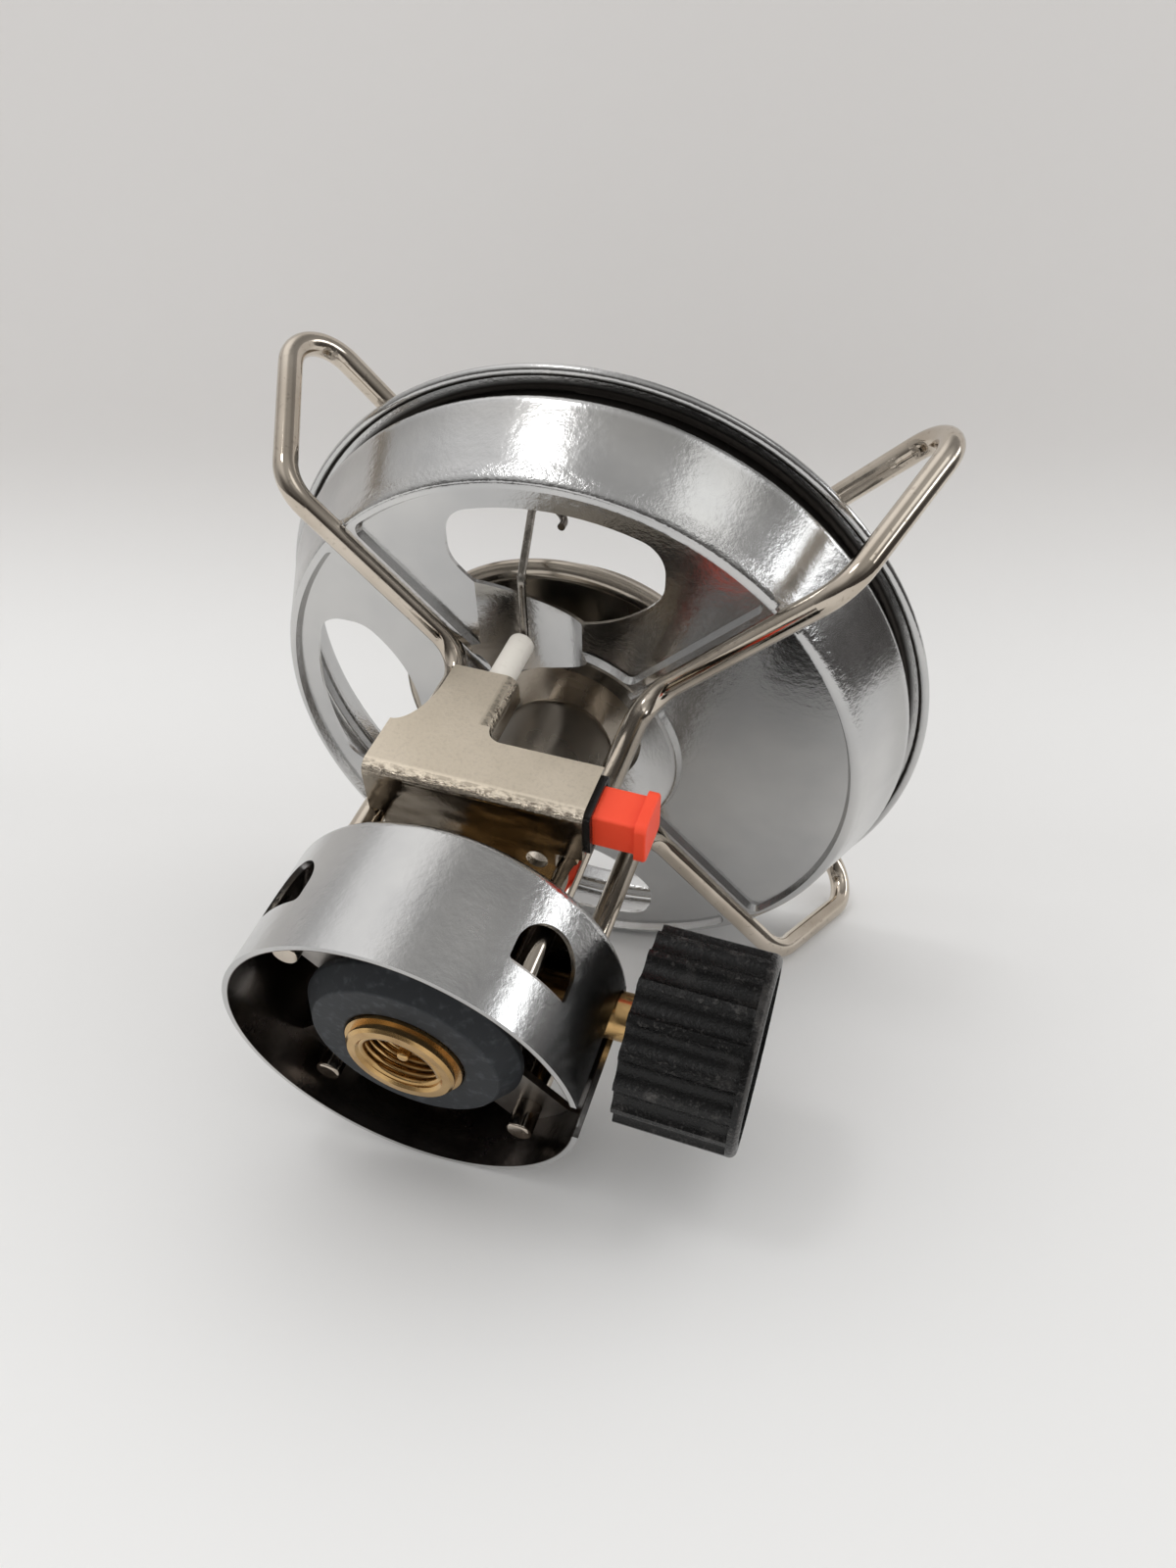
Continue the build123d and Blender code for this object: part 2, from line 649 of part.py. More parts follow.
# ================================================================ igniter bracket
with BuildPart() as igniter_bracket:
    # tall face in front of the piezo housing and floor under it
    with BuildSketch(Plane.YZ.offset(bracket_left)):
        with BuildLine():
            half = bracket_sheet / 2
            FilletPolyline((bracket_front + half, face_top), (bracket_front + half, bracket_base + half),
                           (piezo_back, bracket_base + half), radius=bracket_bend)
        trace(line_width=bracket_sheet)
    extrude(amount=bracket_right - bracket_left)
    # arm that rises beside the ceramic tube, in the plane of the front wall
    with BuildSketch(Plane.XZ.offset(-bracket_front - bracket_sheet)):
        with Locations((arm_left, face_top)):
            Rectangle(arm_right - lip_run - arm_left, arm_top - face_top, align=Align.MIN)
            Rectangle(arm_right - arm_left, arm_crotch, align=Align.MIN)
            Rectangle(arm_left - bracket_left, arm_sweep, align=(Align.MAX, Align.MIN))
        with Locations((arm_right, face_top)):
            Rectangle(arm_crotch, arm_crotch, align=Align.MIN)
        with Locations((bracket_left, face_top + arm_sweep)):
            Ellipse(arm_left - bracket_left, arm_sweep, mode=Mode.SUBTRACT)
        with Locations((arm_right + arm_crotch, face_top + arm_crotch)):
            Circle(arm_crotch, mode=Mode.SUBTRACT)
    extrude(amount=bracket_sheet)
    # lip folded back along the arm's right edge, around the ceramic tube
    with BuildSketch(Plane.XY.offset(face_top + arm_crotch)):
        with BuildLine():
            FilletPolyline((arm_right - lip_run - half, bracket_front + half),
                           (arm_right - half, bracket_front + half),
                           (arm_right - half, bracket_front + arm_lip), radius=bracket_bend)
        trace(line_width=bracket_sheet)
    extrude(amount=arm_top - face_top - arm_crotch)
    # tab that fills the space between the legs, narrows and is clamped on the valve's neck
    with BuildSketch(Plane.XY.offset(bracket_base)):
        Circle(tab_end_radius)
        with Locations((0, piezo_back - bracket_sheet)):
            Rectangle(2 * tab_half_width, tab_straight, align=(Align.CENTER, Align.MIN))
        make_hull()
        Circle(neck_radius + seat_gap, mode=Mode.SUBTRACT)
        with Locations((tab_hole_right, piezo_back + tab_hole_depth)):
            Circle(tab_hole_radius, mode=Mode.SUBTRACT)
    extrude(amount=bracket_sheet)
igniter_bracket.part.label = "igniter_bracket"
export_step(igniter_bracket.part, "parts/igniter_bracket.step")

# ================================================================ piezo unit
with BuildPart() as piezo_housing:
    with BuildSketch(PIEZO.offset(piezo_left)):
        RectangleRounded(piezo_depth, piezo_height, piezo_corner)
    extrude(amount=piezo_right - piezo_left)
    with BuildSketch(PIEZO.offset(crystal_start)):
        Circle(crystal_radius + seat_gap)
    extrude(amount=anvil_end - crystal_start, mode=Mode.SUBTRACT)
    with BuildSketch(PIEZO.offset(anvil_end)):
        Rectangle(button_width + 2 * slide_gap, button_height + 2 * slide_gap)
    extrude(amount=piezo_right - anvil_end, mode=Mode.SUBTRACT)
piezo_housing.part.label = "piezo_housing"
export_step(piezo_housing.part, "parts/piezo_housing.step")

with BuildPart() as piezo_crystal:
    with BuildSketch(PIEZO.offset(crystal_start)):
        Circle(crystal_radius)
    extrude(amount=crystal_length)
piezo_crystal.part.label = "piezo_crystal"
export_step(piezo_crystal.part, "parts/piezo_crystal.step")

with BuildPart() as piezo_anvil:
    with BuildSketch(PIEZO.offset(crystal_start + crystal_length)):
        Circle(crystal_radius)
    extrude(amount=anvil_length)
piezo_anvil.part.label = "piezo_anvil"
export_step(piezo_anvil.part, "parts/piezo_anvil.step")

with BuildPart() as piezo_hammer:
    with BuildSketch(PIEZO.offset(button_inner_end - hammer_length)):
        Circle(hammer_radius)
    extrude(amount=hammer_length)
piezo_hammer.part.label = "piezo_hammer"
export_step(piezo_hammer.part, "parts/piezo_hammer.step")

with BuildPart() as button:
    with BuildSketch(PIEZO.offset(button_inner_end)):
        RectangleRounded(button_width, button_height, button_corner)
    extrude(amount=button_reach - button_inner_end)
    with BuildSketch(PIEZO.offset(button_reach)):
        RectangleRounded(button_width + 2 * button_lip_rim, button_height + 2 * button_lip_rim,
                         button_corner + button_lip_rim)
    extrude(amount=button_lip)
    fillet(button.faces().sort_by(Axis.X)[-1].edges(), button_corner)
button.part.label = "button"
export_step(button.part, "parts/button.step")

# ================================================================ electrode
with BuildPart() as ceramic_tube:
    with BuildSketch(Plane.XY.offset(piezo_top)):
        with Locations((ceramic_axis, ceramic_row)):
            Circle(ceramic_radius)
            Circle(electrode_radius + seat_gap, mode=Mode.SUBTRACT)
    extrude(amount=ceramic_top - piezo_top)
    fillet(ceramic_tube.edges().group_by(Axis.Z)[-1].sort_by(SortBy.RADIUS)[-1], ceramic_edge)
ceramic_tube.part.label = "ceramic_tube"
export_step(ceramic_tube.part, "parts/ceramic_tube.step")

with BuildPart() as electrode:
    with BuildLine() as electrode_route:
        FilletPolyline((ceramic_axis, ceramic_row, piezo_top),
                       (ceramic_axis, ceramic_row, electrode_run_height),
                       (ceramic_axis, -electrode_run_end, electrode_run_height), *electrode_tip,
                       radius=[electrode_exit_bend] + [electrode_bend] * len(electrode_tip))
    with BuildSketch(Plane(origin=electrode_route.line @ 0, z_dir=electrode_route.line % 0)):
        Circle(electrode_radius)
    sweep(path=electrode_route.line)
electrode.part.label = "electrode"
export_step(electrode.part, "parts/electrode.step")
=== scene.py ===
import bpy
import json
from math import cos, pi, radians, sin
from mathutils import Matrix, Vector


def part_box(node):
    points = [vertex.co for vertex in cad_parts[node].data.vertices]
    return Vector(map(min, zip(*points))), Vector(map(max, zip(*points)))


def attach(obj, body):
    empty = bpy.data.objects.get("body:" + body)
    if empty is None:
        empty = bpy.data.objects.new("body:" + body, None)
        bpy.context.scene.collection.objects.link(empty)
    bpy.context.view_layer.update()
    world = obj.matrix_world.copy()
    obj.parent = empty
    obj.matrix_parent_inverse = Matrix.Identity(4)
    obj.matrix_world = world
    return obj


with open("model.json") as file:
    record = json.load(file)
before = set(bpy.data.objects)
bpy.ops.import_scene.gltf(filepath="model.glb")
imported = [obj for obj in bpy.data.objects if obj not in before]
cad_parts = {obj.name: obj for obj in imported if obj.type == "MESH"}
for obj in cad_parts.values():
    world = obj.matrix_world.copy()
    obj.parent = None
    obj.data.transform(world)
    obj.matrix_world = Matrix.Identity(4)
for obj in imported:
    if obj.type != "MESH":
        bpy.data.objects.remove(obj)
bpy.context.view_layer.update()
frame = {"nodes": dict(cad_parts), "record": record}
nodes = frame["nodes"]
MM = 0.001

# Camping stove with its canister thread on the Z axis, the knob towards +X and the
# igniter towards -Y. It lies on its +Y side, on the collar, the bowl's rim and one wire.


# ---------------------------------------------------------------- node tools
class Value:
    """A node's output socket that can be used in arithmetic."""

    def __init__(self, maker, socket):
        self.maker = maker
        self.socket = socket

    def _math(self, operation, *terms):
        return self.maker.node("ShaderNodeMath", {"operation": operation}, *terms)

    def __add__(self, other):
        return self._math("ADD", self, other)

    def __radd__(self, other):
        return self._math("ADD", other, self)

    def __sub__(self, other):
        return self._math("SUBTRACT", self, other)

    def __rsub__(self, other):
        return self._math("SUBTRACT", other, self)

    def __mul__(self, other):
        return self._math("MULTIPLY", self, other)

    def __rmul__(self, other):
        return self._math("MULTIPLY", other, self)

    def clamp(self):
        return self.maker.node("ShaderNodeClamp", {}, self)

    def step(self, low, high):
        """0 below low, 1 above high, smooth between them."""
        settings = {"interpolation_type": "SMOOTHSTEP"}
        return self.maker.node("ShaderNodeMapRange", settings, self, low, high, 0.0, 1.0)

    def band(self, rise_from, rise_to, fall_from, fall_to):
        """1 from rise_to to fall_from and 0 outside the outer two."""
        return self.step(rise_from, rise_to) * (1.0 - self.step(fall_from, fall_to))


class Nodes:
    """A node tree and the nodes that are added to it."""

    def __init__(self, tree):
        self.tree = tree

    def node(self, kind, settings, *inputs, output=0, **named):
        made = self.tree.nodes.new(kind)
        for key, value in settings.items():
            setattr(made, key, value)
        for key, value in list(enumerate(inputs)) + list(named.items()):
            socket = made.inputs[key if isinstance(key, int) else key.replace("_", " ")]
            self.feed(socket, value)
        return Value(self, made.outputs[output]) if made.outputs else None

    def feed(self, socket, value):
        if isinstance(value, Value):
            self.tree.links.new(value.socket, socket)
        elif value is not None:
            socket.default_value = value

    def coords(self, output="Object"):
        return self.node("ShaderNodeTexCoord", {}, output=output)

    def axis(self, vector, name):
        return self.node("ShaderNodeSeparateXYZ", {}, vector, output=name)

    def vector(self, operation, *terms, output=0):
        return self.node("ShaderNodeVectorMath", {"operation": operation}, *terms, output=output)

    def length(self, vector, kept_axes):
        """Length of a vector, counting only the kept axes."""
        return self.vector("LENGTH", self.vector("MULTIPLY", vector, kept_axes), output="Value")

    def along(self, vector, direction):
        return self.vector("DOT_PRODUCT", vector, tuple(direction), output="Value")

    def noise(self, vector, scale, detail=3.0, roughness=0.55):
        return self.node("ShaderNodeTexNoise", {}, Vector=vector, Scale=scale, Detail=detail,
                         Roughness=roughness)

    def stretched(self, vector, scale):
        return self.node("ShaderNodeMapping", {}, Vector=vector, Scale=scale)

    def mix(self, factor, first, second):
        made = self.node("ShaderNodeMix", {"data_type": "RGBA"}, factor, output=2)
        sockets = made.socket.node.inputs
        self.feed(sockets[6], first)
        self.feed(sockets[7], second)
        return made

    def bump(self, height, distance, strength=1.0, normal=None):
        return self.node("ShaderNodeBump", {}, Height=height, Distance=distance, Strength=strength,
                         Normal=normal)


class Finish(Nodes):
    """A node material with one Principled shader."""

    def __init__(self, name):
        self.material = bpy.data.materials.new(name)
        self.material.use_nodes = True
        super().__init__(self.material.node_tree)
        self.shader = self.tree.nodes["Principled BSDF"]

    def set(self, **values):
        for key, value in values.items():
            self.feed(self.shader.inputs[key.replace("_", " ")], value)


def rgb(red, green, blue):
    return (red, green, blue, 1.0)


# ---------------------------------------------------------------- finishes
# Masks that follow a piece's shape compare its radius, height or length in millimetres.
TO_MM = 1000.0
BOWL_FOOT_HEIGHT = 59.5
BOWL_FOOT_RADIUS = 46.5
BOWL_WALL_SLOPE = 0.457  # how much wider the wall gets with its height
SPINDLE_AXIS = (0.0, 0.0, 15.7 * MM)
ROUND_Z = (1.0, 1.0, 0.0)  # axes kept for a radius about Z
ROUND_X = (0.0, 1.0, 1.0)  # axes kept for a radius about X
TURNING_STRETCH = 4.0  # turning marks are finer across the radius than along the axis


def plated_steel():
    """Zinc-bright plating: hazy, a little uneven, rougher where the sheet was bent. Painted shade
    darkens the rim's groove, the collar's inside and the bowl's wall top.
    """
    f = Finish("plated_steel")
    at = f.coords()
    radius = f.length(at, ROUND_Z) * TO_MM
    height = f.axis(at, "Z") * TO_MM
    right = f.axis(at, "X") * TO_MM
    haze = f.noise(at, 45.0, 4.0).step(0.35, 0.7)
    cloud = f.noise(at, 16.0, 3.0).step(0.3, 0.75)
    grain = f.noise(at, 1100.0, 2.0)
    # the bowl's foot, shoulder and rim, and the collar's top edge were drawn hardest
    foot = radius.step(45.0, 46.2) * height.band(58.0, 59.0, 61.0, 63.0)
    shoulder = height.band(70.8, 72.0, 73.2, 74.0)
    wall_foot = radius - (height - BOWL_FOOT_HEIGHT) * BOWL_WALL_SLOPE
    outer_face = wall_foot.step(BOWL_FOOT_RADIUS, BOWL_FOOT_RADIUS + 0.2)
    rim = height.step(76.2, 76.8)
    top = height.band(18.2, 19.4, 20.5, 20.8) * radius.step(22.0, 23.0)
    vent_side = right.step(2.0, 15.0) * height.band(8.0, 16.0, 20.5, 20.8) * radius.step(23.4, 23.7)
    worked = ((foot + shoulder) * outer_face + rim * 0.4 + top + vent_side * 0.5).clamp()
    # painted shade: the groove under the rim and the inside of the collar are painted dark, the inside
    # in two dark tones mottled by noise
    groove_shade = height.band(73.0, 73.8, 76.7, 76.9) * radius.band(50.7, 51.1, 51.8, 52.8)
    shaded_inside = (1.0 - radius.step(23.25, 23.35)) * (1.0 - height.step(19.75, 19.9))
    inside_mottle = f.noise(at, 130.0, 4.0).step(0.35, 0.7)
    tone = f.mix(haze, rgb(0.53, 0.53, 0.53), rgb(0.64, 0.635, 0.625))
    tone = f.mix(shaded_inside, tone, f.mix(inside_mottle, rgb(0.10, 0.085, 0.075), rgb(0.19, 0.165, 0.15)))
    # painted shade: a band at the top of the bowl's outer wall, under the rim, is mixed darker
    wall_top_shade = height.band(65.0, 70.5, 70.6, 71.4) * outer_face
    tone = f.mix(wall_top_shade * 0.3, tone, rgb(0.30, 0.29, 0.27))
    # painted shade: the groove under the rim is mixed almost black
    f.set(Base_Color=f.mix(groove_shade, tone, rgb(0.045, 0.04, 0.036)), Metallic=1.0)
    f.set(Roughness=0.11 + 0.09 * cloud + 0.06 * haze + 0.05 * grain + groove_shade * 0.3 + shaded_inside * 0.06)
    waves = f.bump(f.noise(at, 90.0, 3.0), 0.3 * MM, 0.18)
    peel = f.bump(f.noise(at, 850.0, 3.0, 0.65), 0.09 * MM, 0.45, waves)
    f.set(Normal=f.bump(f.noise(at, 1300.0, 3.0, 0.7) * worked, 0.13 * MM, 0.8, peel))
    return f.material


def nickel_wire():
    """Bright nickel with a warm cast, drawn lines and small pits."""
    f = Finish("nickel_wire")
    at = f.coords()
    cloud = f.noise(at, 60.0, 3.0).step(0.3, 0.7)
    pits = f.noise(at, 1100.0, 2.0).step(0.6, 0.75)
    tone = f.mix(cloud, rgb(0.50, 0.435, 0.36), rgb(0.66, 0.59, 0.505))
    f.set(Base_Color=f.mix(pits * 0.4, tone, rgb(0.24, 0.20, 0.16)), Metallic=1.0)
    f.set(Roughness=0.07 + 0.08 * cloud + 0.12 * pits)
    f.set(Normal=f.bump(f.noise(at, 420.0, 3.0), 0.04 * MM, 0.35))
    return f.material


def nickel_sheet():
    """Folded sheet: satin on its tall face, creased along the fold, buckled underneath; painted shade
    darkens the fold's creases and the underside.
    """
    f = Finish("nickel_sheet")
    at = f.coords()
    facing = f.coords("Normal")
    forward = f.axis(facing, "Y") * -1.0
    shaded_underside = (f.axis(facing, "Z") * -1.0).step(0.5, 0.95)
    satin = forward.step(0.55, 0.95)
    bend = forward.band(0.1, 0.4, 0.75, 0.95)
    fold_shade_line = forward.band(0.80, 0.9, 0.96, 0.99)
    grain = f.noise(at, 1900.0, 3.0, 0.65)
    cloud = f.noise(at, 90.0, 3.0).step(0.3, 0.7)
    crease = f.noise(f.stretched(at, (0.45, 1.0, 1.0)), 1900.0, 3.0, 0.7)
    tone = f.mix(cloud, rgb(0.68, 0.60, 0.485), rgb(0.77, 0.685, 0.565))
    tone = f.mix(grain.step(0.45, 0.75) * satin * 0.16, tone, rgb(0.30, 0.25, 0.20))
    # painted shade: a thin dark line along the fold and dark flecks in the bend's creases
    tone = f.mix(crease.step(0.36, 0.6) * fold_shade_line * 0.42, tone, rgb(0.06, 0.045, 0.03))
    tone = f.mix(crease.step(0.5, 0.6) * bend, tone, rgb(0.12, 0.09, 0.065))
    # painted shade: the downward-facing underside is mixed to darker tones
    tone = f.mix(shaded_underside, tone, f.mix(cloud, rgb(0.34, 0.295, 0.24), rgb(0.50, 0.44, 0.36)))
    f.set(Base_Color=tone, Metallic=1.0)
    f.set(Roughness=0.10 + satin * 0.34 + 0.05 * cloud)
    buckle = f.bump(f.noise(f.stretched(at, (0.6, 1.3, 1.0)), 95.0, 2.0) * shaded_underside, 1.2 * MM, 0.6)
    fine = f.bump(grain, 0.04 * MM, 0.5, buckle)
    f.set(Normal=f.bump(crease * bend, 0.24 * MM, 0.9, fine))
    return f.material


def steel_plate():
    """Plain plate, dull and a little stained."""
    f = Finish("steel_plate")
    at = f.coords()
    cloud = f.noise(at, 120.0, 4.0).step(0.3, 0.7)
    f.set(Base_Color=f.mix(cloud, rgb(0.30, 0.28, 0.26), rgb(0.48, 0.455, 0.43)), Metallic=1.0)
    f.set(Roughness=0.3 + 0.2 * cloud, Normal=f.bump(f.noise(at, 900.0), 0.03 * MM, 0.4))
    return f.material


def machined_brass():
    """Golden brass with turning marks round the thread's axis and some tarnish."""
    f = Finish("machined_brass")
    at = f.coords()
    ring = f.node("ShaderNodeCombineXYZ", {}, f.length(at, ROUND_Z) * TURNING_STRETCH, 0.0,
                  f.axis(at, "Z"))
    turned = f.noise(ring, 1400.0, 2.0)
    tarnish = f.noise(at, 150.0, 4.0).step(0.35, 0.75)
    tone = f.mix(tarnish, rgb(0.68, 0.45, 0.20), rgb(0.43, 0.26, 0.105))
    f.set(Base_Color=tone, Metallic=1.0, Roughness=0.17 + 0.16 * tarnish)
    f.set(Normal=f.bump(turned, 0.02 * MM, 0.35))
    return f.material


def rubber():
    """Dark sealing rubber with a dusty grain."""
    f = Finish("rubber")
    at = f.coords()
    dust = f.noise(at, 800.0, 3.0).step(0.5, 0.75)
    cloud = f.noise(at, 70.0, 3.0)
    tone = f.mix(dust, rgb(0.020, 0.023, 0.027), rgb(0.045, 0.050, 0.056))
    f.set(Base_Color=tone, Roughness=0.5 + 0.2 * cloud, Specular_IOR_Level=0.4)
    f.set(Normal=f.bump(f.noise(at, 1600.0, 3.0), 0.04 * MM, 0.5))
    return f.material


def burner_steel():
    """Brown-grey steel with a dull sheen, drawn upright on the mixing tube."""
    f = Finish("burner_steel")
    at = f.coords()
    cloud = f.noise(at, 40.0, 4.0).step(0.3, 0.75)
    drawn = f.noise(f.stretched(at, (1.0, 1.0, 0.12)), 900.0, 3.0)
    tone = f.mix(cloud, rgb(0.47, 0.42, 0.355), rgb(0.64, 0.57, 0.49))
    f.set(Base_Color=tone, Metallic=1.0, Roughness=0.22 + 0.12 * cloud)
    f.set(Normal=f.bump(drawn, 0.03 * MM, 0.4))
    return f.material


def knob_plastic():
    """Black plastic, coarsely grained, worn in patches, with pale specks and paler crests painted as
    glints, and a paler rim round its outer end.
    """
    f = Finish("knob_plastic")
    at = f.coords()
    radius = f.length(f.vector("SUBTRACT", at, SPINDLE_AXIS), ROUND_X) * TO_MM
    length = f.axis(at, "X") * TO_MM
    grain = f.noise(at, 1700.0, 3.0, 0.75)
    wear = f.noise(at, 300.0, 4.0).step(0.52, 0.72)
    # painted highlight: pale specks near the crests and paler crest patches stand in for glints; the
    # wear noise also adds plain wear, and the outer end gets a paler rim
    outer_end = length.step(41.8, 42.1) * radius.step(12.0, 12.5)
    crest = radius.step(12.45, 12.75)
    glint_speck = grain.step(0.56, 0.66) * radius.step(11.8, 12.5)
    wear_and_glints = (outer_end * 0.6 + crest * wear * 0.4 + wear * 0.12 + glint_speck * 0.45).clamp()
    tone = f.mix(wear_and_glints, rgb(0.0035, 0.0033, 0.0033), rgb(0.075, 0.07, 0.066))
    f.set(Base_Color=tone, Roughness=0.20 + 0.14 * grain, Specular_IOR_Level=0.3)
    f.set(Normal=f.bump(grain, 0.18 * MM, 0.7))
    return f.material


def housing_plastic():
    """Smooth black plastic."""
    f = Finish("housing_plastic")
    at = f.coords()
    grain = f.noise(at, 1800.0, 2.0)
    f.set(Base_Color=f.mix(grain, rgb(0.0035, 0.0035, 0.004), rgb(0.008, 0.0075, 0.008)))
    f.set(Roughness=0.22 + 0.15 * grain, Specular_IOR_Level=0.35)
    f.set(Normal=f.bump(grain, 0.03 * MM, 0.3))
    return f.material


def button_plastic():
    """Orange-red plastic with a soft moulded skin."""
    f = Finish("button_plastic")
    at = f.coords()
    cloud = f.noise(at, 250.0, 3.0)
    f.set(Base_Color=f.mix(cloud, rgb(0.92, 0.066, 0.024), rgb(0.97, 0.09, 0.036)))
    f.set(Roughness=0.42 + 0.12 * cloud, Specular_IOR_Level=0.35)
    f.set(Normal=f.bump(f.noise(at, 900.0, 3.0), 0.02 * MM, 0.3))
    return f.material


def ceramic():
    """Unglazed white ceramic, a little warm."""
    f = Finish("ceramic")
    at = f.coords()
    glint_speck = f.noise(at, 900.0, 3.0).step(0.55, 0.75)
    f.set(Base_Color=f.mix(glint_speck * 0.4, rgb(0.84, 0.80, 0.73), rgb(0.70, 0.65, 0.57)))
    f.set(Roughness=0.5)
    f.set(Normal=f.bump(f.noise(at, 1500.0, 3.0), 0.03 * MM, 0.4))
    return f.material


def electrode_wire():
    """Drawn wire, dark and heat-browned towards its tip."""
    f = Finish("electrode_wire")
    at = f.coords()
    cloud = f.noise(at, 400.0, 3.0).step(0.35, 0.7)
    burnt = (f.axis(at, "Z") * TO_MM).step(64.0, 76.0)
    tone = f.mix(cloud, rgb(0.24, 0.22, 0.195), rgb(0.40, 0.375, 0.34))
    f.set(Base_Color=f.mix(burnt * 0.6, tone, rgb(0.07, 0.055, 0.05)), Metallic=1.0)
    f.set(Roughness=0.2 + 0.15 * cloud, Normal=f.bump(f.noise(at, 1500.0), 0.02 * MM, 0.3))
    return f.material


finishes = {
    "plated_steel": plated_steel(), "nickel_wire": nickel_wire(), "nickel_sheet": nickel_sheet(),
    "steel_plate": steel_plate(), "brass": machined_brass(), "rubber": rubber(),
    "burner_steel": burner_steel(), "knob_plastic": knob_plastic(), "housing_plastic": housing_plastic(),
    "button_plastic": button_plastic(), "ceramic": ceramic(), "electrode_wire": electrode_wire(),
}
for subpart in frame["record"]["subparts"]:
    solid = nodes[subpart["node"]]
    for place in solid.material_slots:
        place.material = finishes[subpart["material_slot"]]


# ---------------------------------------------------------------- canister thread
# The CAD socket is bored to the thread's root. A wound ridge stands on its wall.
thread_radius = 5.56 * MM
thread_height = 0.62 * MM
thread_pitch = 25.4 / 28 * MM
thread_from = 0.75 * MM
thread_turns = 6.6


def wound_thread():
    """A ridge wound along a helix. Gives the tree and what its inputs are set to."""
    tree = bpy.data.node_groups.new("wound_thread", "GeometryNodeTree")
    tree.interface.new_socket(name="Geometry", in_out="OUTPUT", socket_type="NodeSocketGeometry")
    number, material = "NodeSocketFloat", "NodeSocketMaterial"
    sizes = {
        "Radius": (number, thread_radius),
        "Height": (number, thread_height),
        "Pitch": (number, thread_pitch),
        "Turns": (number, thread_turns),
        "From": (number, thread_from),
        "Finish": (material, finishes["brass"]),
    }
    inputs = {}
    for name, (kind, value) in sizes.items():
        socket = tree.interface.new_socket(name=name, in_out="INPUT", socket_type=kind)
        inputs[socket.identifier] = value
    g = Nodes(tree)
    size = {name: g.node("NodeGroupInput", {}, output=name) for name in sizes}
    helix = g.node("GeometryNodeCurveSpiral", {}, Resolution=96, Rotations=size["Turns"],
                   Start_Radius=size["Radius"], End_Radius=size["Radius"],
                   Height=size["Pitch"] * size["Turns"])
    ridge = g.node("GeometryNodeCurvePrimitiveCircle", {"mode": "RADIUS"}, Resolution=6,
                   Radius=size["Height"])
    swept = g.node("GeometryNodeCurveToMesh", {}, Curve=helix, Profile_Curve=ridge, Fill_Caps=True)
    lift = g.node("ShaderNodeCombineXYZ", {}, 0.0, 0.0, size["From"])
    moved = g.node("GeometryNodeTransform", {}, Geometry=swept, Translation=lift)
    real = g.node("GeometryNodeRealizeInstances", {}, Geometry=moved)
    painted = g.node("GeometryNodeSetMaterial", {}, Geometry=real, Material=size["Finish"])
    g.node("NodeGroupOutput", {}, painted)
    return tree, inputs


def grown(name, tree, inputs, slot_name, body):
    """Runs a Geometry Nodes tree once and keeps its result as a plain mesh."""
    holder = bpy.data.objects.new(name, bpy.data.meshes.new(name + "_seed"))
    bpy.context.scene.collection.objects.link(holder)
    modifier = holder.modifiers.new("grown", "NODES")
    modifier.node_group = tree
    for key, value in inputs.items():
        modifier[key] = value
    bpy.context.view_layer.update()
    mesh = bpy.data.meshes.new_from_object(holder.evaluated_get(bpy.context.evaluated_depsgraph_get()))
    holder.modifiers.clear()
    mesh.name = name
    holder.data = mesh
    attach(holder, body)


grown("canister_thread_ridge", *wound_thread(), "brass", "stove")


# ---------------------------------------------------------------- table
# The table touches the collar's open rim, the bowl's rim and the first wire's loop.
bowl_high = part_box("bowl")[1]
collar_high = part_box("collar")[1]
rest_azimuth = radians(81.4)
rest_lean = (bowl_high.x - collar_high.y) / bowl_high.z
rest_gap = 0.3 * MM
outward = Vector((cos(rest_azimuth), sin(rest_azimuth), 0.0))
table_up = -(outward - Vector((0.0, 0.0, rest_lean))).normalized()
table_foot = outward * (collar_high.y + rest_gap)
across = Vector((1.0, 0.0, 0.0))
across = (across - table_up * across.dot(table_up)).normalized()
away = table_up.cross(across)
wall_angle = radians(8.0)
wall_turn = Matrix.Rotation(wall_angle, 3, table_up)
wall_across, wall_away = wall_turn @ across, wall_turn @ away
wall_distance = 185 * MM
wall_height = 260 * MM
table_front = -1200 * MM
table_left = -600 * MM
table_right = 300 * MM
cove_radius = 75 * MM
cove_steps = 24
shade_heights = (8.0, 90.0)  # mm above the table between which the paper darkens


def paper():
    """Pale sheet, a little darker on the wall, that is clear from behind."""
    f = Finish("paper")
    at = f.coords()
    above = (f.along(at, table_up) - table_foot.dot(table_up)) * TO_MM
    sheet = f.mix(f.noise(at, 3.0), rgb(0.83, 0.827, 0.822), rgb(0.865, 0.862, 0.857))
    shade = f.mix(f.noise(at, 3.0), rgb(0.64, 0.623, 0.612), rgb(0.675, 0.66, 0.65))
    f.set(Base_Color=f.mix(above.step(*shade_heights), sheet, shade), Roughness=0.75)
    behind = f.node("ShaderNodeNewGeometry", {}, output="Backfacing")
    clear = f.node("ShaderNodeBsdfTransparent", {})
    shown = f.node("ShaderNodeMixShader", {}, behind, Value(f, f.shader.outputs[0]), clear)
    f.tree.links.new(shown.socket, f.tree.nodes["Material Output"].inputs[0])
    return f.material


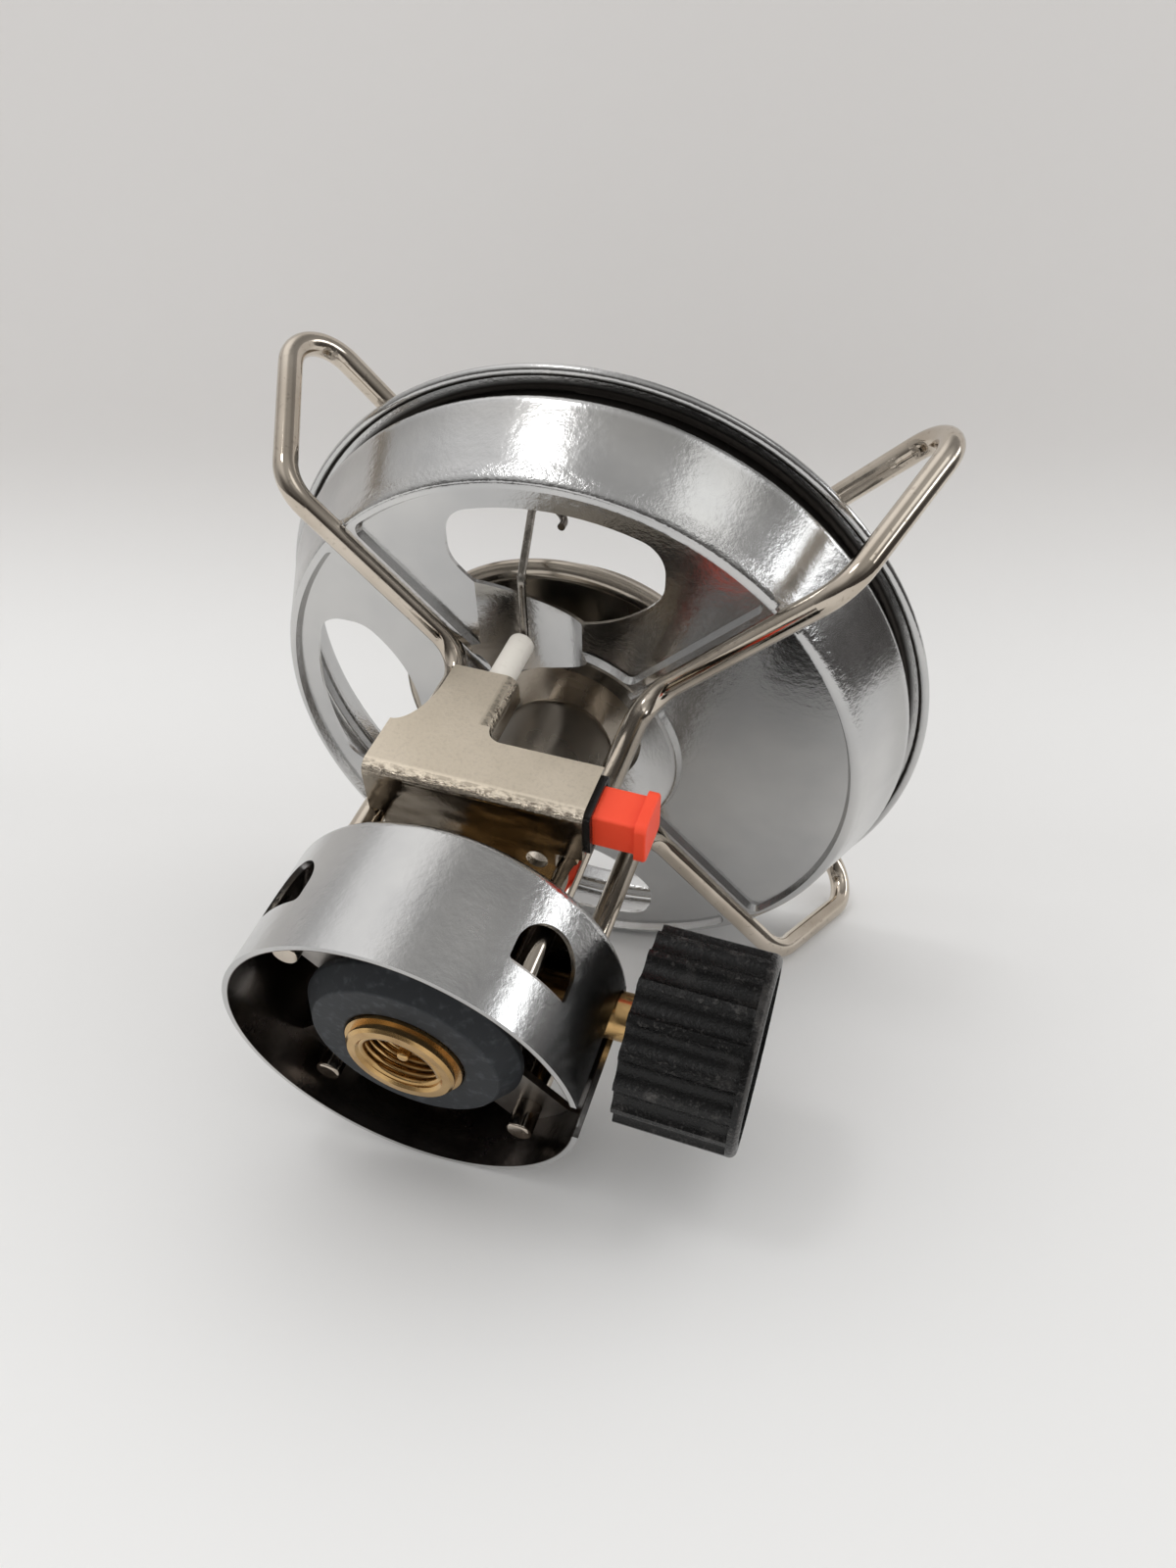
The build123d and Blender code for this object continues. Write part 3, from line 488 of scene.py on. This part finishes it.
def backdrop():
    """Table that curves up into a low wall behind the stove."""
    bend_start = wall_distance - cove_radius
    profile = [(table_front, 0.0)]
    for step in range(cove_steps + 1):
        turn = pi / 2 * step / cove_steps
        profile.append((bend_start + cove_radius * sin(turn), cove_radius * (1 - cos(turn))))
    profile.append((wall_distance, wall_height))
    corners = [table_foot + wall_across * side + wall_away * along + table_up * height
               for along, height in profile for side in (table_left, table_right)]
    faces = [(2 * row, 2 * row + 1, 2 * row + 3, 2 * row + 2) for row in range(len(profile) - 1)]
    mesh = bpy.data.meshes.new("backdrop")
    mesh.from_pydata(corners, [], faces)
    mesh.materials.append(paper())
    for face in mesh.polygons:
        face.use_smooth = True
    made = bpy.data.objects.new("backdrop", mesh)
    bpy.context.scene.collection.objects.link(made)


backdrop()


# ---------------------------------------------------------------- room
# Matt surfaces get plain even light. Metal shows a room. Its ceiling is pale on the left,
# with a bright patch there and a second glow behind the viewer on the right. A window stands
# low on the right. The horizon is dark except on the left, and so is the wall behind the viewer.
world = bpy.data.worlds.new("room")
bpy.context.scene.world = world
world.use_nodes = True
room = Nodes(world.node_tree)
looking = room.coords("Generated")


def aimed(elevation, azimuth):
    """Direction above the table, turned from straight ahead towards the right."""
    level = across * sin(radians(azimuth)) + away * cos(radians(azimuth))
    return table_up * sin(radians(elevation)) + level * cos(radians(elevation))


def glow(shade, elevation, azimuth, edge, middle, color):
    """Adds a round soft patch of light. Edge and middle are cosines from its centre."""
    return room.mix(room.along(looking, aimed(elevation, azimuth)).step(edge, middle), shade, color)


height = room.along(looking, table_up)
side = room.along(looking, across)
depth = room.along(looking, away)
walls = room.mix(side.step(-0.6, 0.2), rgb(0.44, 0.435, 0.43), rgb(0.32, 0.315, 0.31))
walls = room.mix(depth.step(0.35, 0.8), walls, rgb(0.62, 0.62, 0.62))
walls = room.mix((0.0 - depth).step(0.25, 0.8), walls, rgb(0.14, 0.135, 0.13))
ceiling = room.mix(side.step(-0.3, 0.2), rgb(0.76, 0.755, 0.745), rgb(0.28, 0.275, 0.27))
ceiling = glow(ceiling, 62, -62, 0.90, 1.0, rgb(1.08, 1.07, 1.06))
ceiling = glow(ceiling, 58, 125, 0.80, 0.98, rgb(0.50, 0.495, 0.485))
ceiling = glow(ceiling, 52, 112, 0.975, 0.995, rgb(1.3, 1.3, 1.28))
shell = room.mix(height.step(0.35, 0.80), walls, ceiling)
horizon = (1.0 - height.step(0.08, 0.34)) * (1.0 - depth.step(0.3, 0.8)) * side.step(-0.85, -0.3)
shell = room.mix(horizon * 0.9, shell, rgb(0.045, 0.04, 0.038))
pane = room.along(looking, aimed(24, 80)).step(0.92, 0.955)
shell = room.mix(height.band(0.30, 0.33, 0.46, 0.50) * pane, shell, rgb(3.4, 3.45, 3.5))
matt = room.node("ShaderNodeLightPath", {}, output="Is Diffuse Ray")
seen = room.node("ShaderNodeLightPath", {}, output="Is Camera Ray")
shown = room.mix(matt, shell, rgb(1.0, 0.995, 0.985))
shown = room.mix(seen, shown, rgb(0.66, 0.655, 0.65))
background = room.tree.nodes["Background"]
room.tree.links.new(shown.socket, background.inputs["Color"])

lamp_data = bpy.data.lights.new("ceiling_lamp", "AREA")
lamp_data.size = 0.13
lamp_data.energy = 0.4
lamp = bpy.data.objects.new("ceiling_lamp", lamp_data)
bpy.context.scene.collection.objects.link(lamp)
lamp_distance = 0.75
lamp_place = aimed(72, -128) * lamp_distance
lamp_turn = lamp_place.to_track_quat("Z", "Y").to_matrix().to_4x4()
lamp.matrix_world = Matrix.Translation(lamp_place) @ lamp_turn


# ---------------------------------------------------------------- camera
camera_data = bpy.data.cameras.new("camera")
camera_data.lens = 25.38
camera_data.clip_start = 5 * MM
camera = bpy.data.objects.new("camera", camera_data)
bpy.context.scene.collection.objects.link(camera)
eye = Vector((45.9, -124.1, -56.4)) * MM
aim = Vector((11.7, -14.6, 40.2)) * MM
roll = Matrix.Rotation(radians(24.7), 4, "Z")
turn = (aim - eye).to_track_quat("-Z", "Y").to_matrix().to_4x4() @ roll
camera.matrix_world = Matrix.Translation(eye) @ turn
bpy.context.scene.camera = camera
bpy.context.scene.view_settings.view_transform = "Standard"
